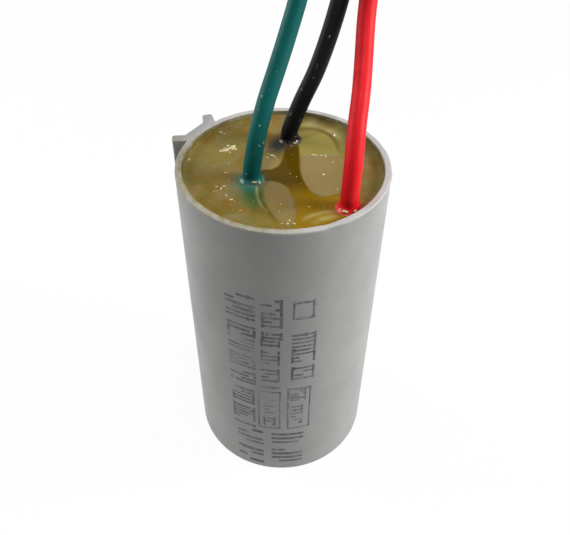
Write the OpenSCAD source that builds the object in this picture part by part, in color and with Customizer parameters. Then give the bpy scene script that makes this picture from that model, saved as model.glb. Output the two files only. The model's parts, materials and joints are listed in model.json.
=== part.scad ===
// Motor run capacitor: a two-section, three-lead film capacitor potted in a moulded can.
// Millimetres. The origin is the centre of the can's foot, +Z runs up the can towards the
// leads, and the mounting rail faces +Y.

/* [Can] */
// Outside diameter of the can
can_d = 32; // [27:0.5:40]
// Height of the can, foot to rim
can_h = 60; // [48:1:80]
// Thickness of the side wall
wall = 1; // [0.8:0.1:1.6]
// Thickness of the floor
floor_t = 1.2; // [0.8:0.1:2]
// Radius round the foot's outer edge
foot_r = 0.8; // [0.4:0.1:1.5]
// Radius of the rounded rim
rim_r = 0.4; // [0.2:0.05:0.4]
// Radius in the corner between floor and wall, inside
corner_r = 1; // [0.5:0.1:2]

/* [Rail] */
// Width of the flat pad between the two fins
pad_w = 4.8; // [3.6:0.1:6]
// How far the pad stands out past the round of the can
pad_rise = 0.8; // [0.5:0.1:1.5]
// Thickness of a fin
fin_t = 1.6; // [1:0.1:1.8]
// How far a fin reaches past the pad, along its own slant
fin_reach = 2; // [1.2:0.1:2.4]
// Slant of a fin away from the rail's middle
fin_slant = 38; // [25:1:50]
// Radius of a fin's edges
fin_edge_r = 0.45; // [0.1:0.05:0.45]
// Height of the rail's lower end above the foot
rail_start = 2; // [1:0.5:20]

/* [Potting] */
// Depth of the resin's surface below the rim
fill_gap = 1.2; // [0.8:0.1:3]
// How far the resin climbs the wall and the leads
climb = 0.5; // [0.2:0.05:0.7]
// How far from the wall or lead that climb begins
climb_w = 0.9; // [0.4:0.1:1.5]

/* [Winding] */
// Room under the winding for the common wire
foot_room = 2.8; // [2.6:0.1:5]
// Room over the winding for the two upper wires
head_room = 7.8; // [7:0.1:12]
// Outside diameter of the winding core
core_d = 5; // [4:0.1:6]
// Wall of the winding core
core_wall = 0.8; // [0.5:0.1:1.2]
// Radial build of the inner section
inner_build = 3.9; // [3.6:0.1:4.5]
// Thickness of the plain film between the sections
divider_t = 0.3; // [0.2:0.05:0.6]
// Thickness of the plain film round the outside
wrap_t = 0.3; // [0.2:0.05:0.6]
// Thickness of the sprayed metal contacts
spray_t = 0.6; // [0.4:0.1:1]

/* [Leads] */
// Outside diameter of an insulated lead
lead_d = 2.6; // [2:0.1:3.2]
// Diameter of a lead's tinned conductor
wire_d = 1.1; // [0.8:0.1:1.4]
// Gap between the red lead and the can's wall
lead_wall_gap = 1; // [0.2:0.1:1.5]
// Gap between the red lead and the winding it runs down beside
side_gap = 0.15; // [0.1:0.05:0.4]
// Bend radius of the bare wires where they turn onto the contacts
wire_bend = 1; // [0.8:0.1:1.2]
// Length of bare wire between the insulation and that turn
bare_drop = 1; // [0.5:0.1:1.5]
// Length of the tinned far ends
tip_l = 8; // [5:0.5:12]
// Direction from the can's axis to the green lead
green_angle = 150; // [135:1:165]
// Direction from the can's axis to the black lead
black_angle = 27; // [10:1:45]
// Direction from the can's axis to the red lead
red_angle = -100; // [-125:1:-80]

/* [Solder] */
// Radius of a solder joint's foot
solder_r = 1.2; // [1:0.05:1.45]
// Solder over the top of a wire that lies on a contact
solder_cover = 0.25; // [0.2:0.05:0.5]
// Margin between a joint and the edge of its contact
joint_margin = 0.1; // [0.05:0.05:0.2]
// Distance from an upper lead to its joint
joint_step = 1.3; // [1.2:0.05:1.4]
// Distance from the red lead to its joint
red_step = 3.5; // [3.2:0.1:5]
// Length of wire past a joint's middle
wire_past = 0.7; // [0.4:0.05:0.9]

/* [Hidden] */

fine = 96;      // segments on the can and the winding
round_n = 48;   // segments on wires and joints
arc_n = 6;      // steps in a rounded corner
lead_sides = 8; // sides of a free lead's tube

can_r = can_d / 2;
bore_r = can_r - wall;
surface_z = can_h - fill_gap;

lead_r = lead_d / 2;
wire_r = wire_d / 2;
solder_h = wire_d + solder_cover;

// The winding is as wide as it can be with a lead running down beside it.
channel_r = bore_r - lead_wall_gap - lead_r;
wrap_r = channel_r - lead_r - side_gap;
core_r = core_d / 2;
inner_r = core_r + inner_build;
divider_r = inner_r + divider_t;
outer_r = wrap_r - wrap_t;

stack_bottom = floor_t + foot_room;         // underside of the bottom contact
stack_top = surface_z - head_room;          // top of the upper contacts
film_bottom = stack_bottom + spray_t;
film_top = stack_top - spray_t;

// Each lead stands upright in the resin. Its bare wire turns onto a contact: inwards for
// the green and red leads, outwards for the black one.
green_spot = polar(core_r + joint_margin + solder_r + joint_step, green_angle);
black_spot = polar(outer_r - joint_margin - solder_r - joint_step, black_angle);
red_spot = polar(channel_r, red_angle);
green_turn = green_angle + 180;
black_turn = black_angle;
red_turn = red_angle + 180;

// Height of a wire's middle where it lies on top of the winding, or under it.
over_z = stack_top + wire_r;
under_z = stack_bottom - wire_r;

// Routes of the free leads, as steps from the point where each leaves the resin.
green_route = [
    [0, 0, 0], [0, 0, 1.6], [1.5, 0, 6.4], [4.1, 0.2, 10.7], [7.1, 0.3, 14.7],
    [10, 0.4, 18.8], [12.5, 0.4, 23.1], [14.4, 0.5, 27.8], [15.6, 0.5, 32.7],
    [16.3, 0.6, 37.6], [16.6, 0.7, 42.6], [16.6, 0.8, 47.6], [16.5, 0.9, 52.6],
    [16.4, 1, 57.6], [16.2, 1, 62.6], [16, 1.1, 67.6], [15.9, 1.1, 72.6],
    [15.8, 1.1, 77.6], [15.8, 1.1, 82.6], [15.8, 1.1, 87.6]
];
black_route = [
    [0, 0, 0], [0, 0, 1.6], [1.2, -1.2, 6.3], [2.9, -2.5, 10.9], [4.6, -3.3, 15.5],
    [6.1, -3.9, 20.3], [7.3, -4.3, 25.1], [8.2, -4.6, 30.1], [8.8, -4.8, 35.1],
    [9.1, -4.9, 40.1], [9.3, -5, 45.1], [9.4, -5, 50.1], [9.4, -5, 55.1],
    [9.4, -5, 60.1], [9.3, -5, 65.2], [9.3, -5, 70.2], [9.3, -5, 75.2],
    [9.2, -5, 80.2], [9.2, -5, 85.2], [9.2, -5, 90.2]
];
red_route = [
    [0, 0, 0], [0, 0, 1.6], [1.6, 0.7, 6.2], [4.6, 2.2, 10], [8.3, 3.9, 13.1],
    [11.9, 5.8, 16.1], [15.2, 7.6, 19.5], [17.9, 8.8, 23.5], [19.9, 9.4, 28],
    [21.3, 9.5, 32.8], [22.2, 9.3, 37.7], [22.7, 9, 42.7], [22.9, 8.6, 47.7],
    [22.9, 8.3, 52.7], [22.9, 8.1, 57.7], [22.8, 7.9, 62.8], [22.7, 7.8, 67.8],
    [22.7, 7.8, 72.8], [22.6, 7.8, 77.8], [22.6, 7.8, 82.8]
];

// ---- functions ----

function polar(r, a) = [r * cos(a), r * sin(a)];
function unit(v) = v / norm(v);

// A route set at the spot in the resin's surface where its lead comes out.
function placed(route, spot) = [for (p = route) p + [spot.x, spot.y, surface_z]];

// Points of a circular arc in a plane profile.
function arc(centre, r, from, to) =
    [for (i = [0:arc_n]) centre + polar(r, from + (to - from) * i / arc_n)];

// Half profile of the can's outside, foot edge and rim rounded.
function can_profile() = concat(
    [[0, 0]],
    arc([can_r - foot_r, foot_r], foot_r, -90, 0),
    arc([can_r - rim_r, can_h - rim_r], rim_r, 0, 90),
    arc([bore_r + rim_r, can_h - rim_r], rim_r, 90, 180),
    arc([bore_r - corner_r, floor_t + corner_r], corner_r, 0, -90),
    [[0, floor_t]]
);

// A hollow quarter curve, from the foot at [0, 0] rising to [w, h].
function climb_curve(w, h) =
    [for (i = [0:arc_n]) [w * sin(90 * i / arc_n), h * (1 - cos(90 * i / arc_n))]];

// Ring of points round point i of a path, square to the way the lead runs there.
function ring(path, i, r) =
    let (last = len(path) - 1,
         t = unit(path[min(i + 1, last)] - path[max(i - 1, 0)]),
         u = unit(cross([0, 1, 0], t)),
         v = cross(t, u))
    [for (k = [0:lead_sides - 1])
        let (a = 360 * k / lead_sides)
        path[i] + r * (cos(a) * u + sin(a) * v)];

// ---- building blocks ----

module tube(outer, inner, z0, z1) {
    translate([0, 0, z0])
        difference() {
            cylinder(r = outer, h = z1 - z0, $fn = fine);
            translate([0, 0, -1]) cylinder(r = inner, h = z1 - z0 + 2, $fn = fine);
        }
}

// A bare wire that stands upright over spot from height lie_z up to top, with its foot
// turned flat towards way and reaching out by reach.
module footed_wire(spot, lie_z, top, way, reach) {
    translate([spot.x, spot.y, lie_z])
        rotate([0, 0, way]) {
            translate([0, 0, wire_bend])
                cylinder(r = wire_r, h = top - lie_z - wire_bend, $fn = round_n);
            translate([wire_bend, 0, wire_bend])
                rotate([90, 0, 0])
                    rotate([0, 0, 180])
                        rotate_extrude(angle = 90, $fn = fine)
                            translate([wire_bend, 0]) circle(r = wire_r, $fn = round_n);
            translate([wire_bend, 0, 0])
                rotate([0, 90, 0])
                    cylinder(r = wire_r, h = reach - wire_bend, $fn = round_n);
        }
}

// Height at which the insulation ends over a wire that lies at lie_z.
function sleeve_end(lie_z) = lie_z + wire_bend + bare_drop;

// Insulation left on a lead inside the resin.
module potted_sleeve(spot, lie_z) {
    z0 = sleeve_end(lie_z);
    translate([spot.x, spot.y, 0]) tube(lead_r, wire_r, z0, surface_z);
}

// A low dome of solder whose flat foot lies at the origin, growing towards +Z.
module dome() {
    // radius of the ball whose cap has this foot and height
    ball_r = (solder_r * solder_r + solder_h * solder_h) / (2 * solder_h);
    intersection() {
        translate([0, 0, solder_h - ball_r]) sphere(r = ball_r, $fn = round_n);
        cylinder(r = 2 * solder_r, h = 2 * solder_h, $fn = round_n);
    }
}

// Solder joint on a contact at height z, step out from the lead along way. It grows
// upwards when side is 1 and downwards when side is -1.
module solder_blob(spot, z, way, step, side) {
    middle = spot + polar(step, way);
    translate([middle.x, middle.y, z]) rotate([side > 0 ? 0 : 180, 0, 0]) dome();
}

// Free lead: one tube swept along its route.
module free_lead(route, spot) {
    path = placed(route, spot);
    n = len(path);
    points = [for (i = [0:n - 1]) each ring(path, i, lead_r)];
    sides = [for (i = [0:n - 2], k = [0:lead_sides - 1])
        let (a = i * lead_sides + k, b = i * lead_sides + (k + 1) % lead_sides)
        [a, a + lead_sides, b + lead_sides, b]];
    foot = [for (k = [0:lead_sides - 1]) k];
    head = [for (k = [lead_sides - 1:-1:0]) (n - 1) * lead_sides + k];
    polyhedron(points, concat(sides, [foot, head]), convexity = 4);
}

// Tinned end in line with the last step of the route.
module tinned_tip(route, spot) {
    path = placed(route, spot);
    last = len(path) - 1;
    way = path[last] - path[last - 1];
    translate(path[last])
        rotate([0, atan2(norm([way.x, way.y]), way.z), atan2(way.y, way.x)])
            cylinder(r = wire_r, h = tip_l, $fn = round_n);
}

// ---- can ----

// One fin of the rail in plan, slanting away from the pad's edge at the origin.
module fin_outline() {
    inset = fin_t / 2 - fin_edge_r;
    root_l = fin_t; // buried in the can's wall
    rotate(-fin_slant) {
        translate([-fin_t / 2, -root_l]) square([fin_t, root_l + fin_reach - fin_edge_r]);
        translate([-inset, fin_reach - 2 * fin_edge_r]) square([2 * inset, 2 * fin_edge_r]);
        for (s = [-1, 1])
            translate([s * inset, fin_reach - fin_edge_r]) circle(r = fin_edge_r, $fn = round_n);
    }
}

module rail() {
    pad_y = can_r + pad_rise;
    fin_x = pad_w / 2 + fin_t / 2 * cos(fin_slant);
    fin_y = pad_y - fin_t / 2 * sin(fin_slant);
    base_w = 2 * fin_x;
    root_y = bore_r + rim_r; // the rail is flush with the rim from here outwards
    translate([0, 0, rail_start])
        linear_extrude(height = can_h - rail_start) {
            translate([-base_w / 2, root_y]) square([base_w, pad_y - root_y]);
            translate([fin_x, fin_y]) fin_outline();
            mirror([1, 0]) translate([fin_x, fin_y]) fin_outline();
        }
}

module can() {
    color("#9d9d9c")
        difference() {
            union() {
                rotate_extrude($fn = fine) polygon(can_profile());
                rail();
            }
            // The rail's root must not reach into the bore.
            translate([0, 0, floor_t + corner_r])
                cylinder(r = bore_r, h = can_h, $fn = fine);
        }
}

// ---- potting ----

module resin_body() {
    rotate_extrude($fn = fine)
        polygon(concat(
            [[0, floor_t]],
            arc([bore_r - corner_r, floor_t + corner_r], corner_r, -90, 0),
            [[bore_r, surface_z + climb]],
            [for (i = [arc_n - 1:-1:0]) [bore_r - climb_w, surface_z]
                + climb_curve(climb_w, climb)[i]],
            [[0, surface_z]]
        ));
}

// Resin drawn up round a lead where it comes out.
module collar(spot) {
    foot = lead_r + climb_w;
    translate([spot.x, spot.y, surface_z])
        rotate_extrude($fn = fine)
            polygon(concat(
                [[0, -climb], [foot, -climb]],
                [for (p = climb_curve(climb_w, climb)) [foot - p.x, p.y]],
                [[0, climb]]
            ));
}

// The room that a lead takes in the resin.
module lead_room(spot, lie_z) {
    z0 = sleeve_end(lie_z);
    translate([spot.x, spot.y, z0])
        cylinder(r = lead_r, h = surface_z + 2 * climb - z0, $fn = fine);
}

module potting_resin() {
    color("#7a6428")
        difference() {
            union() {
                resin_body();
                collar(green_spot);
                collar(black_spot);
                collar(red_spot);
            }
            tube(wrap_r, core_r - core_wall, stack_bottom, stack_top);
            lead_room(green_spot, over_z);
            lead_room(black_spot, over_z);
            lead_room(red_spot, under_z);
            green_wire();
            black_wire();
            red_wire();
            green_blob();
            black_blob();
            red_blob();
        }
}

// ---- winding ----

module winding_core() {
    color("#e8e4d8") tube(core_r, core_r - core_wall, stack_bottom, stack_top);
}

module inner_section() {
    color("#b9bcc0") tube(inner_r, core_r, film_bottom, film_top);
}

module divider_wrap() {
    color("#e6e2c8") tube(divider_r, inner_r, film_bottom, stack_top);
}

module outer_section() {
    color("#b0b4b9") tube(outer_r, divider_r, film_bottom, film_top);
}

module outer_wrap() {
    color("#e6d98a") tube(wrap_r, outer_r, stack_bottom, stack_top);
}

module inner_top_contact() {
    color("#8e9094") tube(inner_r, core_r, film_top, stack_top);
}

module outer_top_contact() {
    color("#8e9094") tube(outer_r, divider_r, film_top, stack_top);
}

module bottom_contact() {
    color("#8e9094") tube(outer_r, core_r, stack_bottom, film_bottom);
}

// ---- joints, wires and sleeves in the resin ----

module green_blob() { solder_blob(green_spot, stack_top, green_turn, joint_step, 1); }
module black_blob() { solder_blob(black_spot, stack_top, black_turn, joint_step, 1); }
module red_blob() { solder_blob(red_spot, stack_bottom, red_turn, red_step, -1); }

module green_joint() {
    color("#c9ccd0")
        difference() {
            green_blob();
            green_wire();
        }
}

module black_joint() {
    color("#c9ccd0")
        difference() {
            black_blob();
            black_wire();
        }
}

module red_joint() {
    color("#c9ccd0")
        difference() {
            red_blob();
            red_wire();
        }
}

module green_wire() {
    color("#d0b088")
        footed_wire(green_spot, over_z, surface_z, green_turn, joint_step + wire_past);
}

module black_wire() {
    color("#d0b088")
        footed_wire(black_spot, over_z, surface_z, black_turn, joint_step + wire_past);
}

module red_wire() {
    color("#d0b088")
        footed_wire(red_spot, under_z, surface_z, red_turn, red_step + wire_past);
}

module green_potted_sleeve() { color("#0a504b") potted_sleeve(green_spot, over_z); }
module black_potted_sleeve() { color("#101012") potted_sleeve(black_spot, over_z); }
module red_potted_sleeve() { color("#ce2930") potted_sleeve(red_spot, under_z); }

// ---- free leads ----

module green_lead() { color("#0a504b") free_lead(green_route, green_spot); }
module black_lead() { color("#101012") free_lead(black_route, black_spot); }
module red_lead() { color("#ce2930") free_lead(red_route, red_spot); }

module green_tip() { color("#c9ccd0") tinned_tip(green_route, green_spot); }
module black_tip() { color("#c9ccd0") tinned_tip(black_route, black_spot); }
module red_tip() { color("#c9ccd0") tinned_tip(red_route, red_spot); }

can();
potting_resin();
winding_core();
inner_section();
divider_wrap();
outer_section();
outer_wrap();
inner_top_contact();
outer_top_contact();
bottom_contact();
green_joint();
black_joint();
red_joint();
green_wire();
black_wire();
red_wire();
green_potted_sleeve();
black_potted_sleeve();
red_potted_sleeve();
green_lead();
black_lead();
red_lead();
green_tip();
black_tip();
red_tip();
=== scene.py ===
"""Looks of a potted motor run capacitor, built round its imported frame.

Everything is in metres, in the frame's own axes: +Z runs up the can and the mounting
rail faces +Y. The side with the imprint is called the front here.
"""

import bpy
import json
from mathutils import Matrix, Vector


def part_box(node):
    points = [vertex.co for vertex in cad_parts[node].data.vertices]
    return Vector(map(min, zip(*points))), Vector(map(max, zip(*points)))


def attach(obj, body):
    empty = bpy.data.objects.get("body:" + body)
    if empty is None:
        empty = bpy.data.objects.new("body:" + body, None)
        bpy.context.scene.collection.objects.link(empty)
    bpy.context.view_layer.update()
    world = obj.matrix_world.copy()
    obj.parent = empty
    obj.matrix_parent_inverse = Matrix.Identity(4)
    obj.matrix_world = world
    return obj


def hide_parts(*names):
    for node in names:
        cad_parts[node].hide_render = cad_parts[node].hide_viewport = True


bl_info = {
    "name": "Motor Run Capacitor",
    "version": (1, 0, 0),
    "blender": (4, 5, 0),
    "location": "3D View > Sidebar > Capacitor",
    "description": "Can, resin, leads, imprint and stage of a potted motor run capacitor",
    "category": "Add Mesh",
}

import json
import math

import bpy
import numpy as np
from bpy.props import FloatProperty, FloatVectorProperty, IntProperty, PointerProperty
from mathutils import Matrix, Vector

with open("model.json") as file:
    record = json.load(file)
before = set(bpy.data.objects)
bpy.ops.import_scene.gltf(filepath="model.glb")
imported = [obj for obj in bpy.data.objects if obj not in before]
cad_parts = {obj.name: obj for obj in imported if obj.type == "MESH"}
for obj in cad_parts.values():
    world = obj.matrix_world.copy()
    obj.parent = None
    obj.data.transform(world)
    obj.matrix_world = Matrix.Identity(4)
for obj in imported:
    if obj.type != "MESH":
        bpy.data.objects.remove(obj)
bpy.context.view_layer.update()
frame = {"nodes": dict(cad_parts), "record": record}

BODY = "root"
MM = 0.001
COLOURS = ("green", "black", "red")

CAN_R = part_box("can")[1].x
CAN_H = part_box("can")[1].z
PAD_Y = next(
    mount["pos_m"][1] for mount in frame["record"]["mounts"] if mount["name"] == "rail_face")
BORE_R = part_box("potting_resin")[1].x
FLOOR_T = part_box("potting_resin")[0].z
SURFACE_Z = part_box("red_potted_sleeve")[1].z
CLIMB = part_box("potting_resin")[1].z - SURFACE_Z
FRONT = math.radians(-146.5)  # direction from the can's axis to the middle of the imprint

WHITE = (1, 1, 1, 1)
CORNER_R = MM  # inside, between the can's floor and wall
FILM_PITCH = 0.12 * MM  # of the rings that show on a winding's end

# Faces round each solid, and points along each side of the patch that bubbles scatter on.
CAN_SIDES = 288
RESIN_SIDES = 480
LEAD_SIDES = 36
COLLAR_SIDES = 72
STRAND_SIDES = 12
STRAND_RINGS = 48
SCATTER_ROWS = 121

# Distances between the points of curves.
LEAD_STEP = 0.8 * MM
PLAN_STEP = 0.5 * MM
COLLAR_STEP = 0.06 * MM

MIDDLE_SHARE = 0.72  # radius of the strand in the middle, as a share of the wire's

# Nicks in the rim: direction from the front in degrees, width in millimetres, share of depth.
NICKS = ((26.0, 1.1, 1.0), (22.0, 0.6, 0.6), (-33.0, 0.9, 0.35), (80.0, 0.8, -0.6))

# Resin has run over the rim on one side: direction from the front of its middle, half its
# width and how far it fades out at its ends, in degrees.
RUN_FACING, RUN_HALF, RUN_FADE = -55, 45, 25

DUST = {"green": 0.5, "black": 0.6, "red": 0.0}  # how clearly scuffs show on each lead

# Routes of the free leads, as steps in millimetres from where each leaves the resin.
ROUTES = {
    "green": (
        (0, 0, 0), (0, 0, 1.6), (1.5, 0, 6.4), (4.1, 0.2, 10.7), (7.1, 0.3, 14.7),
        (10, 0.4, 18.8), (12.5, 0.4, 23.1), (14.4, 0.5, 27.8), (15.6, 0.5, 32.7),
        (16.3, 0.6, 37.6), (16.6, 0.7, 42.6), (16.6, 0.8, 47.6), (16.5, 0.9, 52.6),
        (16.4, 1, 57.6), (16.2, 1, 62.6), (16, 1.1, 67.6), (15.9, 1.1, 72.6), (15.8, 1.1, 77.6),
        (15.8, 1.1, 82.6), (15.8, 1.1, 87.6),
    ),
    "black": (
        (0, 0, 0), (0, 0, 1.6), (1.2, -1.2, 6.3), (2.9, -2.5, 10.9), (4.6, -3.3, 15.5),
        (6.1, -3.9, 20.3), (7.3, -4.3, 25.1), (8.2, -4.6, 30.1), (8.8, -4.8, 35.1),
        (9.1, -4.9, 40.1), (9.3, -5, 45.1), (9.4, -5, 50.1), (9.4, -5, 55.1), (9.4, -5, 60.1),
        (9.3, -5, 65.2), (9.3, -5, 70.2), (9.3, -5, 75.2), (9.2, -5, 80.2), (9.2, -5, 85.2),
        (9.2, -5, 90.2),
    ),
    "red": (
        (0, 0, 0), (0, 0, 1.6), (1.6, 0.7, 6.2), (4.6, 2.2, 10), (8.3, 3.9, 13.1),
        (11.9, 5.8, 16.1), (15.2, 7.6, 19.5), (17.9, 8.8, 23.5), (19.9, 9.4, 28),
        (21.3, 9.5, 32.8), (22.2, 9.3, 37.7), (22.7, 9, 42.7), (22.9, 8.6, 47.7),
        (22.9, 8.3, 52.7), (22.9, 8.1, 57.7), (22.8, 7.9, 62.8), (22.7, 7.8, 67.8),
        (22.7, 7.8, 72.8), (22.6, 7.8, 77.8), (22.6, 7.8, 82.8),
    ),
}


# ---- small helpers ----

def srgb(red, green, blue):
    """A linear colour with alpha, from the 0 to 255 values of a paint chart."""
    steps = [value / 255 for value in (red, green, blue)]
    return (*[s / 12.92 if s < 0.04045 else ((s + 0.055) / 1.055) ** 2.4 for s in steps], 1.0)


def darker(colour, share):
    """A colour with only a share of its light."""
    return (*[part * share for part in colour[:3]], 1.0)


def lead_exit(colour):
    """Where a lead leaves the resin."""
    low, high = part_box(colour + "_potted_sleeve")
    return Vector(((low.x + high.x) / 2, (low.y + high.y) / 2, high.z))


def from_front(right, back):
    """The place so far right of the can's axis and behind it, as seen from the front."""
    sideways = Vector((-math.sin(FRONT), math.cos(FRONT)))
    inwards = Vector((-math.cos(FRONT), -math.sin(FRONT)))
    return right * sideways + back * inwards


def smooth_path(points, spacing):
    """Points along a Catmull-Rom curve through the given ones."""
    knots = [Vector(p) for p in points]
    ends = [2 * knots[0] - knots[1], *knots, 2 * knots[-1] - knots[-2]]
    path = [knots[0]]
    for before, start, end, after in zip(ends, ends[1:], ends[2:], ends[3:]):
        steps = max(1, round((end - start).length / spacing))
        for k in range(1, steps + 1):
            t = k / steps
            path.append(0.5 * (
                2 * start + (end - before) * t
                + (2 * before - 5 * start + 4 * end - after) * t ** 2
                + (3 * start - before - 3 * end + after) * t ** 3
            ))
    return path


def arc(centre, radius, start, end, steps=8):
    """Points of a circular arc in a plane, angles in degrees."""
    turns = [math.radians(start + (end - start) * k / steps) for k in range(steps + 1)]
    return [(centre[0] + radius * math.cos(a), centre[1] + radius * math.sin(a)) for a in turns]


def weave(rows, columns, start=0, ring=True, loop=False, caps=False):
    """Faces over rows of points. A row may be a ring, the rows may close in a loop, and the
    first and the last row may be capped."""
    faces = []
    for row in range(rows if loop else rows - 1):
        low = start + row * columns
        high = start + (row + 1) % rows * columns
        for k in range(columns if ring else columns - 1):
            after = (k + 1) % columns
            faces.append((low + k, low + after, high + after, high + k))
    if caps:
        faces.append(tuple(reversed(range(start, start + columns))))
        faces.append(tuple(range(start + (rows - 1) * columns, start + rows * columns)))
    return faces


def revolve(profile, segments):
    """Vertices and faces of a closed solid turned from (radius, height) points.

    The profile starts and ends on the axis and runs with the solid on its left."""
    around = [2 * math.pi * k / segments for k in range(segments)]
    vertices = [(0, 0, profile[0][1])]
    for radius, height in profile[1:-1]:
        vertices += [(radius * math.cos(a), radius * math.sin(a), height) for a in around]
    vertices.append((0, 0, profile[-1][1]))
    faces = weave(len(profile) - 2, segments, start=1)
    last = len(vertices) - 1
    for k in range(segments):
        after = (k + 1) % segments
        faces.append((0, 1 + after, 1 + k))
        faces.append((last, last - segments + k, last - segments + after))
    return vertices, faces


def new_piece(name, vertices, faces=(), edges=(), smooth=True):
    """A mesh object at the origin."""
    mesh = bpy.data.meshes.new(name)
    mesh.from_pydata([tuple(v) for v in vertices], edges, faces)
    mesh.validate()
    mesh.polygons.foreach_set("use_smooth", [smooth] * len(mesh.polygons))
    piece = bpy.data.objects.new(name, mesh)
    bpy.context.scene.collection.objects.link(piece)
    return piece


def carry(piece, name, values):
    """Stores a number on each of a piece's points."""
    attribute = piece.data.attributes.new(name, "FLOAT", "POINT")
    attribute.data.foreach_set("value", np.asarray(values, np.float32))


def bake_modifiers(piece):
    """Turns a piece and its modifiers into a plain mesh."""
    graph = bpy.context.evaluated_depsgraph_get()
    mesh = bpy.data.meshes.new_from_object(piece.evaluated_get(graph), depsgraph=graph)
    piece.modifiers.clear()
    piece.data = mesh
    mesh.name = piece.name
    if not mesh.polygons:
        raise RuntimeError(f"{piece.name} came out empty")


def paint(piece, material):
    """Gives a piece its material."""
    piece.data.materials.clear()
    piece.data.materials.append(material)


def settle(piece, slot, *nodes):
    """Lets a piece ride on the body and hides what it stands for. The slot is not used."""
    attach(piece, BODY)
    if nodes:
        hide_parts(*nodes)


class NodeSheet:
    """Adds nodes to a node tree and joins them."""

    def __init__(self, tree):
        self.tree = tree

    def add(self, kind, inputs=None, **settings):
        """One node. An input's value is a number, a colour or another node's output."""
        node = self.tree.nodes.new(kind)
        for key, value in settings.items():
            setattr(node, key, value)
        for key, value in (inputs or {}).items():
            if isinstance(value, bpy.types.NodeSocket):
                self.tree.links.new(value, node.inputs[key])
            else:
                node.inputs[key].default_value = value
        return node

    def out(self, kind, inputs=None, output=0, **settings):
        """An output of a new node."""
        return self.add(kind, inputs, **settings).outputs[output]

    def math(self, operation, *values, clamp=False):
        """The result of a Math node."""
        return self.out(
            "ShaderNodeMath", dict(enumerate(values)), operation=operation, use_clamp=clamp)

    def times(self, first, *factors):
        """The product of some values."""
        for factor in factors:
            first = self.math("MULTIPLY", first, factor)
        return first

    def xyz(self, x=0.0, y=0.0, z=0.0):
        """A vector of three values."""
        return self.out("ShaderNodeCombineXYZ", {0: x, 1: y, 2: z})

    def parts(self, vector):
        """The three values of a vector."""
        return self.add("ShaderNodeSeparateXYZ", {0: vector}).outputs

    def mix(self, share, first, second):
        """Two colours mixed by share."""
        return self.out(
            "ShaderNodeMix", {0: share, 6: first, 7: second}, output=2, data_type="RGBA")

    def ramp(self, value, low, high, to_low=0.0, to_high=1.0):
        """A value moved from one range to another, held at its ends."""
        return self.out(
            "ShaderNodeMapRange", {0: value, 1: low, 2: high, 3: to_low, 4: to_high})

    def place(self, stretch=(1, 1, 1)):
        """Object coordinates, stretched."""
        coordinates = self.out("ShaderNodeTexCoord", output="Object")
        return self.out("ShaderNodeMapping", {"Vector": coordinates, "Scale": stretch})

    def noise(self, scale, stretch=(1, 1, 1), detail=3.0, roughness=0.5, distortion=0.0):
        """A noise texture's value, on stretched object coordinates."""
        return self.out("ShaderNodeTexNoise", {
            "Vector": self.place(stretch), "Scale": scale, "Detail": detail,
            "Roughness": roughness, "Distortion": distortion,
        })

    def attribute(self, name):
        """A number that the mesh carries."""
        return self.out("ShaderNodeAttribute", output="Fac", attribute_name=name)


class Finish(NodeSheet):
    """The nodes of a material with one Principled shader."""

    def __init__(self, name, **constants):
        """Constants are set on the shader's own sockets."""
        self.material = bpy.data.materials.new(name)
        self.material.use_nodes = True
        super().__init__(self.material.node_tree)
        self.sockets = self.tree.nodes["Principled BSDF"].inputs
        for key, value in constants.items():
            self.sockets[key.replace("_", " ")].default_value = value

    def close(self, colour, roughness=None, bump=None, depth=0.0):
        """The material, once its colour, roughness and bump height in metres are joined."""
        self.tree.links.new(colour, self.sockets["Base Color"])
        if roughness is not None:
            self.tree.links.new(roughness, self.sockets["Roughness"])
        if bump is not None:
            relief = {"Height": bump, "Distance": depth, "Strength": 1.0}
            self.tree.links.new(self.out("ShaderNodeBump", relief), self.sockets["Normal"])
        return self.material


class Growth(NodeSheet):
    """The nodes of a geometry tree with named number inputs."""

    def __init__(self, name, numbers):
        super().__init__(bpy.data.node_groups.new(name, "GeometryNodeTree"))
        sockets = self.tree.interface
        for way in ("INPUT", "OUTPUT"):
            sockets.new_socket("Geometry", in_out=way, socket_type="NodeSocketGeometry")
        for label, kind in numbers.items():
            sockets.new_socket(label, in_out="INPUT", socket_type="NodeSocket" + kind)
        self.given = self.add("NodeGroupInput").outputs

    def geo(self, kind, inputs=None, **settings):
        """The first output of a new geometry node."""
        return self.out("GeometryNode" + kind, inputs, **settings)

    def carried(self, name):
        """A number that the points carry."""
        return self.geo("InputNamedAttribute", {"Name": name}, data_type="FLOAT")

    def chance(self, low, high, offset=0, **which):
        """A random number. The offset is added to the tree's seed."""
        seed = self.math("ADD", self.given["Seed"], offset) if offset else self.given["Seed"]
        return self.out(
            "FunctionNodeRandomValue", {2: low, 3: high, "Seed": seed, **which}, output=1,
            data_type="FLOAT")

    def join(self, *parts):
        """Some geometries as one."""
        joined = self.add("GeometryNodeJoinGeometry")
        for part in parts:
            self.tree.links.new(part, joined.inputs[0])
        return joined.outputs[0]

    def close(self, geometry, material):
        """The tree, once it ends in real geometry with its material."""
        real = self.geo("RealizeInstances", {0: geometry})
        done = self.geo("SetMaterial", {"Geometry": real, "Material": material})
        self.tree.links.new(done, self.add("NodeGroupOutput").inputs[0])
        return self.tree


def grow(piece, tree, values):
    """Runs a geometry tree on a piece with the named values and keeps the plain result."""
    modifier = piece.modifiers.new(tree.name, "NODES")
    modifier.node_group = tree
    for item in tree.interface.items_tree:
        if item.in_out == "INPUT" and item.name in values:
            modifier[item.identifier] = values[item.name]
    bake_modifiers(piece)


# ---- settings ----

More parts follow.
